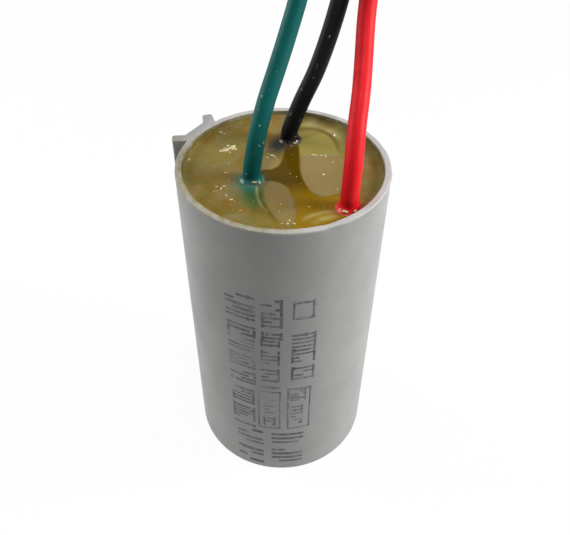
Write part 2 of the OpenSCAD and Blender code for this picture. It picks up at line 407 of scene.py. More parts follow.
class CameraSettings(bpy.types.PropertyGroup):
    azimuth: FloatProperty(
        name="Azimuth", description="Side of the can that the camera stands on, 0 at -Y",
        default=math.radians(-56.5), subtype="ANGLE")
    reach: FloatProperty(
        name="Reach", description="Distance of the camera from the can's axis",
        default=0.08166, unit="LENGTH")
    height: FloatProperty(
        name="Height", description="Height of the camera over the floor",
        default=0.11661, unit="LENGTH")
    tilt: FloatProperty(
        name="Tilt", description="How far the camera looks down", default=math.radians(43.69),
        subtype="ANGLE")
    pan: FloatProperty(
        name="Pan", description="How far the camera looks off the axis",
        default=math.radians(-0.313), subtype="ANGLE")
    roll: FloatProperty(
        name="Roll", description="Turn about the line of sight", default=math.radians(0.746),
        subtype="ANGLE")
    lens: FloatProperty(
        name="Lens", description="Focal length in millimetres on a 36 mm sensor", default=41.87)


class LeadSettings(bpy.types.PropertyGroup):
    length: FloatProperty(
        name="Length", description="Insulated length of each free lead", default=0.092,
        unit="LENGTH")
    diameter: FloatProperty(
        name="Diameter", description="Outside diameter of the insulation", default=0.0026,
        unit="LENGTH")
    green: FloatVectorProperty(
        name="Green", description="Colour of the green lead", default=srgb(3, 92, 88),
        subtype="COLOR", size=4)
    black: FloatVectorProperty(
        name="Black", description="Colour of the black lead", default=srgb(9, 9, 12),
        subtype="COLOR", size=4)
    red: FloatVectorProperty(
        name="Red", description="Colour of the red lead", default=srgb(226, 24, 34),
        subtype="COLOR", size=4)


class TipSettings(bpy.types.PropertyGroup):
    strand_radius: FloatProperty(
        name="Strand radius", description="Radius of one strand", default=0.00019,
        unit="LENGTH")
    strands: IntProperty(
        name="Strands", description="Strands round the middle one", default=6)
    turns: FloatProperty(
        name="Turns", description="Turns of the twist along a tip", default=0.9)
    metal: FloatVectorProperty(
        name="Metal", description="Colour of the tinned strands", default=srgb(196, 198, 202),
        subtype="COLOR", size=4)


class CanSettings(bpy.types.PropertyGroup):
    foot_radius: FloatProperty(
        name="Foot radius", description="Rounding of the foot's edge", default=0.0008,
        unit="LENGTH")
    rim_radius: FloatProperty(
        name="Rim radius", description="Rounding of the rim", default=0.00018, unit="LENGTH")
    pad_width: FloatProperty(
        name="Pad width", description="Width of the rail's flat pad", default=0.0048,
        unit="LENGTH")
    fin_thickness: FloatProperty(
        name="Fin thickness", description="Thickness of the rail's fins", default=0.0016,
        unit="LENGTH")
    fin_reach: FloatProperty(
        name="Fin reach", description="How far the fins reach past the pad", default=0.002,
        unit="LENGTH")
    fin_slant: FloatProperty(
        name="Fin slant", description="Slant of the fins", default=math.radians(38),
        subtype="ANGLE")
    fin_edge: FloatProperty(
        name="Fin edge", description="Rounding of the fins' edges", default=0.00045,
        unit="LENGTH")
    rail_start: FloatProperty(
        name="Rail start", description="Height of the rail's lower end", default=0.002,
        unit="LENGTH")
    nick_depth: FloatProperty(
        name="Nick depth", description="Depth of the small nicks in the rim", default=0.00022,
        unit="LENGTH")
    plastic: FloatVectorProperty(
        name="Plastic", description="Colour of the moulded can", default=srgb(158, 158, 157),
        subtype="COLOR", size=4)


class ResinSettings(bpy.types.PropertyGroup):
    spacing: FloatProperty(
        name="Spacing", description="Size of the surface's faces", default=0.00015,
        unit="LENGTH")
    meniscus: FloatProperty(
        name="Meniscus", description="How far from a wall or a lead the resin climbs",
        default=0.0009, unit="LENGTH")
    collar_height: FloatProperty(
        name="Collar height", description="How far the resin climbs a lead", default=0.001,
        unit="LENGTH")
    collar_width: FloatProperty(
        name="Collar width", description="Width of the climbed ring at its foot",
        default=0.00052, unit="LENGTH")
    amber: FloatVectorProperty(
        name="Amber", description="Colour of the open resin", default=srgb(134, 110, 56),
        subtype="COLOR", size=4)
    # Painted reflection: colour of the darkest part of the star-shaped dark reflection of the
    # leads.
    deep: FloatVectorProperty(
        name="Deep", description="Colour of the clear channels", default=srgb(80, 60, 0),
        subtype="COLOR", size=4)
    # Painted reflection: colour of the pale patches where the resin shows its bright surroundings.
    haze: FloatVectorProperty(
        name="Haze", description="Colour of the clouded patches", default=srgb(137, 119, 75),
        subtype="COLOR", size=4)
    olive: FloatVectorProperty(
        name="Olive", description="Colour of the greenish back of the pour",
        default=srgb(142, 132, 66), subtype="COLOR", size=4)


class BubbleSettings(bpy.types.PropertyGroup):
    density: FloatProperty(
        name="Density", description="Bubbles on a square metre of clean resin",
        default=70000.0)
    radius: FloatProperty(
        name="Radius", description="Radius of the largest bubbles", default=0.00034,
        unit="LENGTH")
    seed: IntProperty(name="Seed", description="Seed of the scatter", default=4)


class ImprintSettings(bpy.types.PropertyGroup):
    lift: FloatProperty(
        name="Lift", description="Thickness of the ink over the can", default=0.000012,
        unit="LENGTH")
    ink: FloatVectorProperty(
        name="Ink", description="Colour of the faded ink", default=srgb(60, 54, 62),
        subtype="COLOR", size=4)
    seed: IntProperty(name="Seed", description="Seed of the strokes", default=7)


class StageSettings(bpy.types.PropertyGroup):
    floor_size: FloatProperty(
        name="Floor size", description="Side of the floor", default=3.0, unit="LENGTH")
    daylight: FloatProperty(
        name="Daylight", description="Strength of the even light from all round", default=0.06)
    key_power: FloatProperty(
        name="Key", description="Power of the lamp on the right, in watts", default=1.3)
    fill_power: FloatProperty(
        name="Fill", description="Power of the lamp on the left, in watts", default=0.75)
    top_power: FloatProperty(
        name="Top", description="Power of the soft lamp overhead, in watts", default=0.22)
    spark_power: FloatProperty(
        name="Spark", description="Power of the small lamp that makes the glints, in watts",
        default=0.3)


class CapacitorSettings(bpy.types.PropertyGroup):
    camera: PointerProperty(type=CameraSettings)
    leads: PointerProperty(type=LeadSettings)
    tips: PointerProperty(type=TipSettings)
    can: PointerProperty(type=CanSettings)
    resin: PointerProperty(type=ResinSettings)
    bubbles: PointerProperty(type=BubbleSettings)
    imprint: PointerProperty(type=ImprintSettings)
    stage: PointerProperty(type=StageSettings)


# ---- materials ----

def vinyl(name, colour, dust):
    """Extruded vinyl with faint drawing lines and, by dust, small pale scuffs."""
    sheet = Finish(name, Roughness=0.5, IOR=1.5, Specular_IOR_Level=0.14)
    cloud = sheet.noise(260, detail=4)
    shade = sheet.mix(sheet.ramp(cloud, 0.3, 0.7), colour, darker(colour, 0.85))
    scuff = sheet.ramp(sheet.noise(1900, (1, 1, 0.45), detail=2), 0.7, 0.76, 0, dust)
    return sheet.close(
        sheet.mix(scuff, shade, srgb(214, 216, 210)), sheet.ramp(cloud, 0.3, 0.7, 0.44, 0.56),
        bump=sheet.noise(3200, (1, 1, 0.06), detail=2), depth=0.0004 * MM)


def tinned_copper(name, colour):
    """Bright solder over copper strands, with duller patches."""
    sheet = Finish(name, Metallic=1.0, Roughness=0.3)
    patch = sheet.noise(1500, detail=4)
    return sheet.close(
        sheet.mix(sheet.ramp(patch, 0.35, 0.7), colour, srgb(150, 147, 142)),
        sheet.ramp(patch, 0.3, 0.7, 0.18, 0.45), bump=sheet.noise(5200), depth=0.012 * MM)


def moulded_plastic(colour):
    """Satin grey plastic: a fine spark-eroded texture, cloudy tone, rubbed places, dark
    specks, a painted highlight along the rim's top, and a thin run of resin over part of the rim."""
    sheet = Finish("moulded_plastic", Roughness=0.42, IOR=1.5, Specular_IOR_Level=0.25)
    cloud = sheet.noise(95, detail=5, roughness=0.6)
    tone = sheet.mix(sheet.ramp(cloud, 0.3, 0.72), colour, darker(colour, 0.86))
    warm = sheet.noise(38, (1, 1, 0.4))
    tone = sheet.mix(sheet.ramp(warm, 0.48, 0.75, 0, 0.5), tone, srgb(160, 155, 150))
    rub = sheet.noise(900, (1, 1, 0.5), detail=6, roughness=0.7)
    tone = sheet.mix(sheet.ramp(rub, 0.66, 0.8, 0, 0.35), tone, srgb(196, 195, 192))
    speck = sheet.noise(1700, (1, 1, 0.8), detail=1)
    tone = sheet.mix(sheet.ramp(speck, 0.27, 0.22, 0, 0.3), tone, srgb(92, 88, 88))
    # Painted highlight: the rim's top is made paler.
    rim = sheet.times(sheet.attribute("pale_rim"), 0.85)
    tone = sheet.mix(rim, tone, srgb(186, 184, 181))
    patchy = sheet.ramp(sheet.noise(900), 0.35, 0.6, 0.55, 1)
    film = sheet.times(sheet.attribute("resin_film"), patchy)
    return sheet.close(
        sheet.mix(film, tone, srgb(128, 122, 78)), sheet.ramp(cloud, 0.3, 0.7, 0.36, 0.5),
        bump=sheet.noise(4200), depth=0.018 * MM)


def cured_resin(settings):
    """Amber resin. The mesh carries where it is olive, where dark lines run, where the green and
    black leads tint it near their feet, and where light is painted on it: painted reflections of
    bright surroundings as pale patches, a painted dark star-shaped reflection of the leads, a
    painted reflection of the red lead, painted highlight lines and painted shade near the wall.
    Faint streaks come from noise."""
    sheet = Finish(
        "cured_resin", Roughness=0.3, IOR=1.54, Specular_IOR_Level=0.02, Coat_Weight=0.08,
        Coat_Roughness=0.05)
    swirl = sheet.noise(150, detail=4, roughness=0.6, distortion=0.8)
    patch = sheet.noise(330, (1.4, 1, 1), distortion=1)
    cloud = sheet.noise(240, (1, 1.3, 1), detail=2, distortion=0.5)
    tone = sheet.mix(sheet.ramp(swirl, 0.4, 0.6), settings.amber, srgb(120, 94, 30))
    tone = sheet.mix(sheet.ramp(patch, 0.46, 0.66, 0, 0.7), tone, srgb(108, 108, 56))
    tone = sheet.mix(sheet.ramp(cloud, 0.5, 0.7, 0, 0.6), tone, srgb(138, 118, 84))
    # Painted light among these: the pale patches and the dark channel are painted reflections, the
    # pale lines painted highlights, the red tint a painted reflection of the red lead, and the
    # wall's share painted shade.
    for name, colour in (
            ("olive", settings.olive), ("haze", settings.haze), ("honey", srgb(134, 104, 12)),
            ("deep", settings.deep), ("dark_line", srgb(86, 74, 14)),
            ("green_tint", srgb(42, 88, 52)), ("pale_line", srgb(182, 174, 116)),
            ("teal_tint", srgb(30, 116, 104)), ("black_tint", srgb(44, 47, 44)),
            ("red_tint", srgb(178, 62, 30)), ("wall_shade", srgb(78, 82, 42))):
        share = sheet.attribute(name)
        if name.endswith("_line"):
            share = sheet.times(share, sheet.ramp(patch, 0.3, 0.6, 0.4, 1))
        tone = sheet.mix(share, tone, colour)
    streak = sheet.noise(1100, (0.6, 1, 1), detail=2, distortion=1.5)
    return sheet.close(
        sheet.mix(sheet.ramp(streak, 0.64, 0.8, 0, 0.25), tone, srgb(184, 166, 112)),
        sheet.ramp(swirl, 0.3, 0.7, 0.24, 0.4), bump=sheet.noise(330, detail=2),
        depth=0.06 * MM)


def tinted_resin(name, colour, amber):
    """Resin that has climbed a lead: it shows the lead's colour, and amber at its foot."""
    sheet = Finish(
        name, Roughness=0.25, IOR=1.54, Specular_IOR_Level=0.02, Coat_Weight=0.5,
        Coat_Roughness=0.05)
    height = sheet.math(
        "SUBTRACT", sheet.parts(sheet.place())[2], sheet.times(sheet.noise(900), 0.3 * MM))
    share = sheet.ramp(height, SURFACE_Z - 0.3 * MM, SURFACE_Z + 0.1 * MM, 0.45)
    return sheet.close(sheet.mix(share, amber, colour))


def bubble_skin():
    """Thin wet skin over air bubbles in resin; its pale colour is partly the bubbles' own and
    partly a painted glint.
    """
    sheet = Finish("bubble_skin", Roughness=0.18, IOR=1.5, Coat_Weight=1.0, Coat_Roughness=0.04)
    spots = sheet.ramp(sheet.noise(2400), 0.35, 0.65)
    return sheet.close(sheet.mix(spots, srgb(206, 192, 140), srgb(160, 140, 84)))


def faded_ink(colour, plastic):
    """Stamped ink that has worn thin in patches."""
    sheet = Finish("faded_ink", Roughness=0.55)
    wear = sheet.noise(1500, detail=5, roughness=0.65)
    wide = sheet.noise(190, detail=2)
    thin = sheet.math("ADD", sheet.times(wear, 0.6), sheet.times(wide, 0.4))
    worn = sheet.math(
        "ADD", sheet.ramp(thin, 0.42, 0.62, 0, 0.6), sheet.attribute("faint"), clamp=True)
    return sheet.close(sheet.mix(sheet.math("MINIMUM", worn, 0.85), colour, plastic))


def wound_film(name, first, second, metallic, roughness):
    """Film wound in many turns: fine rings on the ends, faint bands down the side."""
    sheet = Finish(name, Metallic=metallic, Roughness=roughness)
    x, y, _ = sheet.parts(sheet.place())
    radius = sheet.math("SQRT", sheet.math("ADD", sheet.times(x, x), sheet.times(y, y)))
    turn = sheet.math("SINE", sheet.times(radius, 2 * math.pi / FILM_PITCH))
    bands = sheet.noise(1800, (0.05, 0.05, 1))
    share = sheet.math("ADD", sheet.ramp(turn, -1, 1, 0, 0.5), sheet.ramp(bands, 0.3, 0.7, 0, 0.5))
    return sheet.close(sheet.mix(share, first, second), bump=turn, depth=0.008 * MM)


def sprayed_metal():
    """Grainy zinc sprayed on a winding's end."""
    sheet = Finish("sprayed_zinc", Metallic=0.7, Roughness=0.6)
    grain = sheet.noise(5200, detail=5, roughness=0.7)
    return sheet.close(
        sheet.mix(sheet.ramp(grain, 0.3, 0.7), srgb(118, 120, 123), srgb(176, 177, 176)),
        sheet.ramp(grain, 0.3, 0.7, 0.5, 0.8), bump=grain, depth=0.05 * MM)


def solder_metal():
    """Bright solder with a slightly crystalline skin."""
    sheet = Finish("solder_metal", Metallic=1.0, Roughness=0.22)
    cells = sheet.out("ShaderNodeTexVoronoi", {"Vector": sheet.place(), "Scale": 3000.0})
    return sheet.close(
        sheet.mix(cells, srgb(205, 207, 210), srgb(150, 152, 156)), bump=cells,
        depth=0.01 * MM)


def core_plastic():
    """Natural moulded plastic of the winding core."""
    sheet = Finish(
        "core_plastic", Roughness=0.45, Subsurface_Weight=0.15, Subsurface_Scale=0.001)
    cloud = sheet.noise(300)
    return sheet.close(
        sheet.mix(sheet.ramp(cloud, 0.3, 0.7), srgb(232, 228, 216), srgb(212, 205, 186)),
        bump=cloud, depth=0.02 * MM)


# ---- camera ----

class CAPACITOR_OT_camera(bpy.types.Operator):
    """Add the camera that looks down on the front of the can"""

    bl_idname = "capacitor.add_camera"
    bl_label = "Camera"

    def execute(self, context):
        settings = context.scene.capacitor.camera
        data = bpy.data.cameras.new("camera")
        data.lens = settings.lens
        data.clip_start = 5 * MM
        camera = bpy.data.objects.new("camera", data)
        context.scene.collection.objects.link(camera)
        turn = Matrix.Rotation(settings.azimuth, 4, "Z")
        spot = Matrix.Translation((0, -settings.reach, settings.height))
        heading = Matrix.Rotation(settings.pan, 4, "Z")
        tilt = Matrix.Rotation(math.pi / 2 - settings.tilt, 4, "X")
        roll = Matrix.Rotation(settings.roll, 4, "Z")
        camera.matrix_world = turn @ spot @ heading @ tilt @ roll
        context.scene.camera = camera
        return {"FINISHED"}


# ---- leads ----

def swept_tube(name, path, radius):
    """A closed tube along a path. Its far end is cut square with a small round edge."""
    edge = 0.12 * radius
    rings = [(point, radius) for point in path[:-1]]
    way = (path[-1] - path[-2]).normalized()
    for inset, rise in arc((0, 0), edge, 0, 90, steps=3):
        rings.append((path[-1] - way * (edge - rise), radius - edge + inset))
    across = Vector((1, 0, 0))
    vertices = []
    for i, (middle, r) in enumerate(rings):
        along = (rings[min(i + 1, len(rings) - 1)][0] - rings[max(i - 1, 0)][0]).normalized()
        across = (across - along * across.dot(along)).normalized()
        other = along.cross(across)
        for k in range(LEAD_SIDES):
            a = 2 * math.pi * k / LEAD_SIDES
            vertices.append(middle + r * (math.cos(a) * across + math.sin(a) * other))
    tube = new_piece(name, vertices, weave(len(rings), LEAD_SIDES, caps=True))
    tube.data.polygons[-1].use_smooth = False
    return tube


def strand_tree(metal):
    """Strands twisted round a middle one, standing on the origin along +Z."""
    sheet = Growth("twisted_strands", {
        "Length": "Float", "Wire radius": "Float", "Strand radius": "Float",
        "Strands": "Int", "Turns": "Float",
    })
    given = sheet.given

    def rod(curve, radius, sides):
        """A closed rod along a curve."""
        ring = sheet.geo("CurvePrimitiveCircle", {"Resolution": sides, "Radius": radius})
        return sheet.geo(
            "CurveToMesh", {"Curve": curve, "Profile Curve": ring, "Fill Caps": True})

    pitch_r = sheet.math("SUBTRACT", given["Wire radius"], given["Strand radius"])
    line = sheet.geo("CurvePrimitiveLine", {"End": sheet.xyz(z=given["Length"])})
    line = sheet.geo("ResampleCurve", {"Curve": line, "Count": STRAND_RINGS})
    turn = sheet.times(
        sheet.geo("SplineParameter", output="Factor"), given["Turns"], 2 * math.pi)
    aside = sheet.xyz(
        sheet.times(sheet.math("COSINE", turn), pitch_r),
        sheet.times(sheet.math("SINE", turn), pitch_r))
    helix = sheet.geo("SetPosition", {"Geometry": line, "Offset": aside})
    angle = sheet.math(
        "DIVIDE", sheet.times(sheet.geo("InputIndex"), 2 * math.pi), given["Strands"])
    spread = sheet.geo("InstanceOnPoints", {
        "Points": sheet.geo("Points", {"Count": given["Strands"]}),
        "Instance": rod(helix, given["Strand radius"], STRAND_SIDES),
        "Rotation": sheet.xyz(z=angle)})
    middle = rod(line, sheet.times(given["Wire radius"], MIDDLE_SHARE), 2 * STRAND_SIDES)
    return sheet.close(sheet.join(spread, middle), metal)


class CAPACITOR_OT_leads(bpy.types.Operator):
    """Add the three free leads, with their tinned ends"""

    bl_idname = "capacitor.add_leads"
    bl_label = "Leads"

    def execute(self, context):
        settings = context.scene.capacitor.leads
        tips = context.scene.capacitor.tips
        tree = strand_tree(tinned_copper("tinned_copper", tips.metal))
        for colour in COLOURS:
            start = lead_exit(colour)
            path = smooth_path([start + MM * Vector(step) for step in ROUTES[colour]], LEAD_STEP)
            lead = swept_tube(colour + "_lead_vinyl", path, settings.diameter / 2)
            paint(lead, vinyl(colour + "_vinyl", getattr(settings, colour), DUST[colour]))
            low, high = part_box(colour + "_tip")
            tip = new_piece(colour + "_tip_strands", [(0, 0, 0)])
            grow(tip, tree, {
                "Length": high.z - low.z, "Wire radius": (high.x - low.x) / 2,
                "Strand radius": tips.strand_radius, "Strands": tips.strands,
                "Turns": tips.turns,
            })
            middle = (low + high) / 2
            tip.data.transform(Matrix.Translation((middle.x, middle.y, low.z)))
            settle(lead, colour + "_vinyl", colour + "_lead")
            settle(tip, "tinned_copper", colour + "_tip")
        return {"FINISHED"}


# ---- can ----

def can_profile(settings):
    """Section of the can, from the axis under the floor round to the axis over it."""
    foot, rim = settings.foot_radius, settings.rim_radius
    return [
        *[(share * (CAN_R - foot), 0) for share in (0, 0.25, 0.5, 0.75)],
        *arc((CAN_R - foot, foot), foot, -90, 0),
        *[(CAN_R, foot + (CAN_H - foot) * k / 12) for k in range(1, 12)],
        (CAN_R, CAN_H - 1.2 * MM), (CAN_R, CAN_H - 0.5 * MM),
        *arc((CAN_R - rim, CAN_H - rim), rim, 0, 90),
        *arc((BORE_R + rim, CAN_H - rim), rim, 90, 180),
        (BORE_R, CAN_H - 0.8 * MM), (BORE_R, CAN_H - 2 * MM),
        *arc((BORE_R - CORNER_R, FLOOR_T + CORNER_R), CORNER_R, 0, -90),
        (0, FLOOR_T),
    ]


def rail_outline(settings):
    """Plan of the rail: a flat pad between two slanted fins, its root buried in the wall."""
    lean, edge, thick = settings.fin_slant, settings.fin_edge, settings.fin_thickness
    along = Vector((math.sin(lean), math.cos(lean)))
    across = Vector((math.cos(lean), -math.sin(lean)))
    half = [Vector((settings.pad_width / 2, PAD_Y))]
    end = half[0] + along * settings.fin_reach
    for middle, start in ((edge, 180), (thick - edge, 90)):
        for u, v in arc((middle, -edge), edge, start, start - 90, steps=6):
            half.append(end + across * u + along * v)
    outer = half[0] + across * thick
    half.append(outer + along * (BORE_R + 0.4 * MM - outer.y) / along.y)
    return [*[Vector((-p.x, p.y)) for p in half], *reversed(half)]


def nick_rim(vertices, depth):
    """The can's points, with small moulding nicks in the rim and a faint waver."""
    moved = []
    for x, y, z in vertices:
        radius = math.hypot(x, y)
        if z > CAN_H - 0.7 * MM and radius > 0:
            turn = math.atan2(y, x)
            for facing, width, share in NICKS:
                gap = (turn - FRONT - math.radians(facing) + math.pi) % (2 * math.pi) - math.pi
                dip = depth * share * math.exp(-(gap * CAN_R / (width * MM)) ** 2)
                z -= dip * 0.5
                radius -= dip * 0.7 * max(0.0, (radius - BORE_R) / (CAN_R - BORE_R))
            z -= abs(0.03 * MM * math.sin(turn * 7 + 1) + 0.02 * MM * math.sin(turn * 17))
            x, y = radius * math.cos(turn), radius * math.sin(turn)
        moved.append((x, y, z))
    return moved


def mark_rim(can):
    """Where resin has run thinly over the rim, and the rim's top, which is painted pale as a
    highlight.
    """
    film, pale = [], []
    for vertex in can.data.vertices:
        x, y, z = vertex.co
        radius = math.hypot(x, y)
        turn = math.degrees((math.atan2(y, x) - FRONT + math.pi) % (2 * math.pi) - math.pi)
        over = max(0.0, 1 - max(0.0, abs(turn - RUN_FACING) - RUN_HALF) / RUN_FADE)
        top = min(1.0, max(0.0, (z - CAN_H + 0.3 * MM) / (0.2 * MM)))
        within = min(1.0, max(0.0, (CAN_R - radius) / (CAN_R - BORE_R)))
        bore = radius < BORE_R + 0.05 * MM and z > CAN_H - 1.5 * MM
        film.append(1.0 if bore else top * over * (0.6 + 0.4 * within))
        # The rim's top, painted pale as a highlight.
        pale.append(top if radius < CAN_R + 0.05 * MM else 0.0)
    carry(can, "resin_film", film)
    carry(can, "pale_rim", pale)


class CAPACITOR_OT_can(bpy.types.Operator):
    """Add the moulded can with its dovetail rail"""

    bl_idname = "capacitor.add_can"
    bl_label = "Can"

    def execute(self, context):
        settings = context.scene.capacitor.can
        vertices, faces = revolve(can_profile(settings), CAN_SIDES)
        can = new_piece("can_shell", nick_rim(vertices, settings.nick_depth), faces)
        outline = rail_outline(settings)
        ends = (settings.rail_start, CAN_H)
        rail = new_piece(
            "rail", [(p.x, p.y, z) for z in ends for p in outline],
            weave(2, len(outline), caps=True))
        union = can.modifiers.new("rail", "BOOLEAN")
        union.operation = "UNION"
        union.solver = "EXACT"
        union.object = rail
        bake_modifiers(can)
        bpy.data.objects.remove(rail)
        can.data.set_sharp_from_angle(angle=math.radians(35))
        mark_rim(can)
        paint(can, moulded_plastic(settings.plastic))
        settle(can, "can_grey", "can")
        return {"FINISHED"}


# ---- resin ----

# Plans of what shows in the resin, as smooth outlines through points that are millimetres
# right of the can's axis and behind it, seen from the front.
# The star-shaped channel: a painted dark reflection of the leads.
DARK_REFLECTION_OUTLINE = (
    (0.3, 6.6), (0.0, 3.6), (-0.3, 2.0), (-0.8, 0.8), (-1.9, 0.0), (-3.4, -0.3), (-3.9, -1.6),
    (-3.0, -2.9), (-1.5, -2.8), (-0.4, -3.3), (0.6, -4.3), (1.1, -5.6), (1.6, -7.4),
    (1.9, -9.4), (1.9, -11.2), (1.4, -14.2), (4.0, -13.9), (7.5, -12.0), (9.4, -9.4),
    (8.4, -6.2), (7.3, -6.0), (6.2, -6.5), (5.2, -6.5), (4.2, -5.7), (3.4, -4.2), (2.8, -2.2),
    (2.5, 0.0), (2.4, 3.0), (2.2, 6.6),
)
# Outlines of the pale patches: painted reflections of bright surroundings.
BRIGHT_REFLECTION_OUTLINES = (
    ((-3.2, 3.6), (-1.9, 3.9), (-0.9, 3.1), (-0.5, 1.8), (-1.0, 0.8), (-1.9, 0.15), (-3.3, 0.1)),
    ((2.6, 3.6), (2.6, 0.0), (2.9, -2.2), (3.5, -4.2), (4.3, -5.6), (5.3, -6.3), (6.3, -6.3),
     (7.3, -5.9), (8.8, -4.5), (9.4, 0.0), (8.8, 3.4), (5.5, 3.9)),
    ((-2.3, -3.2), (-0.7, -3.4), (0.4, -4.4), (0.95, -5.8), (1.4, -7.4), (1.7, -9.4),
     (1.7, -11.2), (0.8, -12.9), (-0.8, -11.7), (-2.0, -9.6), (-2.8, -7.0), (-2.8, -4.8)),
)
OLIVE_PATCH = (
    (2.3, 6.4), (2.6, 10.2), (4.7, 11.0), (6.6, 9.9), (7.8, 7.9), (8.2, 5.6), (8.3, 3.9),
    (5.5, 4.0), (2.6, 3.7),
)
# Lines in it, each with its width: first pale lines that are painted highlights, then dark lines.
HIGHLIGHT_LINES = (
    (((-3.9, -3.7), (-3.75, -5.6), (-3.45, -7.4), (-2.8, -9.0), (-2.0, -10.4)), 0.14),
    (((1.6, 12.5), (5.2, 12.1), (7.5, 10.8), (9.2, 8.2)), 0.55),
    (((-2.8, 4.6), (-1.6, 3.6), (-0.7, 2.9)), 0.13),
    (((2.6, -11.8), (4.0, -10.7), (5.8, -10.0), (8.0, -9.5)), 0.4),
    (((3.8, -12.6), (5.4, -11.5), (7.8, -10.6)), 0.5),
)
DARK_LINES = (
    (((-3.3, -4.0), (-3.2, -6.4), (-2.6, -8.8), (-1.5, -11.0), (-0.4, -12.8)), 0.38),
    (((1.8, 11.4), (4.9, 11.4), (6.9, 10.1), (8.1, 8.2), (8.7, 4.5)), 0.3),
)
# Soft oval spots: share, millimetres right of the axis and behind it, half width and half
# depth, and a turn where there is one.
SPOTS = {
    "olive": ((0.35, -11.5, 3, 4, 5), (0.5, 8.9, 4.5, 0.8, 6.5)),
    # Painted highlights: a short one by the green lead's foot and a pale band under the back of
    # the rim.
    "pale_line": ((0.5, -3.8, -4.6, 0.2, 1.5), (0.5, 5.5, 12.7, 4.0, 1.0, -0.3)),
    "green_tint": (
        (0.85, -4.8, -5.4, 1.3, 2.3), (0.5, -3.9, -8.4, 1.0, 2.0), (0.3, -3.4, -6.3, 0.9, 2.2)),
    "teal_tint": ((1.2, -5.1, -2.9, 1.7, 2.1),),
    "black_tint": ((1.2, -0.9, 6.5, 1.7, 2.1, -0.35),),
    # Painted reflection of the red lead round its foot.
    "red_tint": ((0.8, 10.3, -8.2, 1.0, 1.2), (0.7, 8.0, -9.2, 1.0, 1.0)),
}


def in_plan(points):
    """Points of an outline, as places on the resin."""
    return [from_front(right * MM, back * MM) for right, back in points]


def seen_from_front(x, y):
    """How far right of the can's axis and behind it each place is."""
    sideways, inwards = from_front(1, 0), from_front(0, 1)
    return x * sideways.x + y * sideways.y, x * inwards.x + y * inwards.y


def path_distance(x, y, path):
    """Distance of each place from a path, and how far along it the nearest point is, 0 to 1."""
    nearest = np.full_like(x, np.inf)
    where = np.zeros_like(x)
    for k, (start, end) in enumerate(zip(path, path[1:])):
        step = end - start
        along = ((x - start.x) * step.x + (y - start.y) * step.y) / step.length_squared
        along = np.clip(along, 0, 1)
        away = np.hypot(x - start.x - along * step.x, y - start.y - along * step.y)
        where = np.where(away < nearest, (k + along) / (len(path) - 1), where)
        nearest = np.minimum(nearest, away)
    return nearest, where


def soft_step(value, low, high):
    """0 below low, 1 above high, smooth between."""
    t = np.clip((value - low) / (high - low), 0, 1)
    return t * t * (3 - 2 * t)


def line_share(x, y, points, width):
    """1 on a smooth line through the points, falling off over its width and at its ends."""
    away, where = path_distance(x, y, smooth_path(in_plan(points), PLAN_STEP))
    ends = np.sin(math.pi * np.clip(where, 0, 1)) ** 0.6
    return ends * np.exp(-(away / (width * MM)) ** 2)


def outline_share(x, y, points, softness):
    """1 inside a smooth closed outline, 0 outside, with a soft edge."""
    plan = in_plan(points)
    path = smooth_path([*plan, plan[0]], PLAN_STEP)
    inside = np.zeros(x.shape, bool)
    for start, end in zip(path, path[1:]):
        if start.y != end.y:
            crossing = start.x + (end.x - start.x) * (y - start.y) / (end.y - start.y)
            inside ^= ((start.y > y) != (end.y > y)) & (x < crossing)
    away, _ = path_distance(x, y, path)
    return 1 - soft_step(np.where(inside, -away, away), -softness * MM, softness * MM)


def spot(x, y, right, back, width, depth, turn=0.0):
    """A soft oval spot, 1 in its middle. Its place and size are millimetres, from the front."""
    across, into = seen_from_front(x, y)
    across, into = across - right * MM, into - back * MM
    c, s = math.cos(turn), math.sin(turn)
    u = (c * across + s * into) / (width * MM)
    v = (c * into - s * across) / (depth * MM)
    return np.exp(-(u * u + v * v))


def pour_pattern(x, y):
    """What the resin shows at a place, as named shares from 0 to 1."""
    right, back = seen_from_front(x, y)
    channel = outline_share(x, y, DARK_REFLECTION_OUTLINE, 0.18)
    bright_patches = [outline_share(x, y, points, 0.17) for points in BRIGHT_REFLECTION_OUTLINES]
    bright_patches[1] = bright_patches[1] * (1 - 0.5 * spot(x, y, 9.0, 1.0, 1.6, 6.0))
    pattern = {
        "olive": 0.9 * outline_share(x, y, OLIVE_PATCH, 0.3),
        # Painted reflections of bright surroundings, as pale patches.
        "haze": np.maximum.reduce(bright_patches) * (1 - 0.55 * spot(x, y, -0.6, -8.5, 3.2, 5.0)),
        # The channel: a painted dark reflection of the leads, darkest away from the front.
        "honey": channel,
        "deep": channel * (1 - soft_step(-back, 2.5 * MM, 7 * MM)),
        "dark_line": 0.85 * sum(line_share(x, y, *line) for line in DARK_LINES),
        # Painted highlights along the pale lines.
        "pale_line": 0.5 * sum(line_share(x, y, *line) for line in HIGHLIGHT_LINES),
        "wall_shade": (0.08 + 0.22 * soft_step(right, -9 * MM, 9 * MM))
        * soft_step(np.hypot(x, y), BORE_R - 1.6 * MM, BORE_R),
    }
    for name, spots in SPOTS.items():
        for share, *place in spots:
            laid = np.minimum(share * spot(x, y, *place), 1)
            pattern[name] = pattern.get(name, 0) + laid
    return pattern


def surface_height(x, y, reach):
    """Height of the resin's surface, with its climb up the can's wall."""
    wall = BORE_R - np.hypot(x, y)
    rise = CLIMB * np.exp(-((np.maximum(wall, 0) / (0.5 * reach)) ** 1.3))
    pattern = pour_pattern(x, y)
    swell = 0.05 * MM * pattern["haze"] - 0.04 * MM * pattern["honey"]
    sway = 0.03 * MM * np.sin(420 * x + 1) * np.cos(380 * y)
    sway += 0.015 * MM * np.sin(900 * x - 700 * y)
    return SURFACE_Z + rise + (swell + sway) * np.clip(wall / MM, 0, 1)


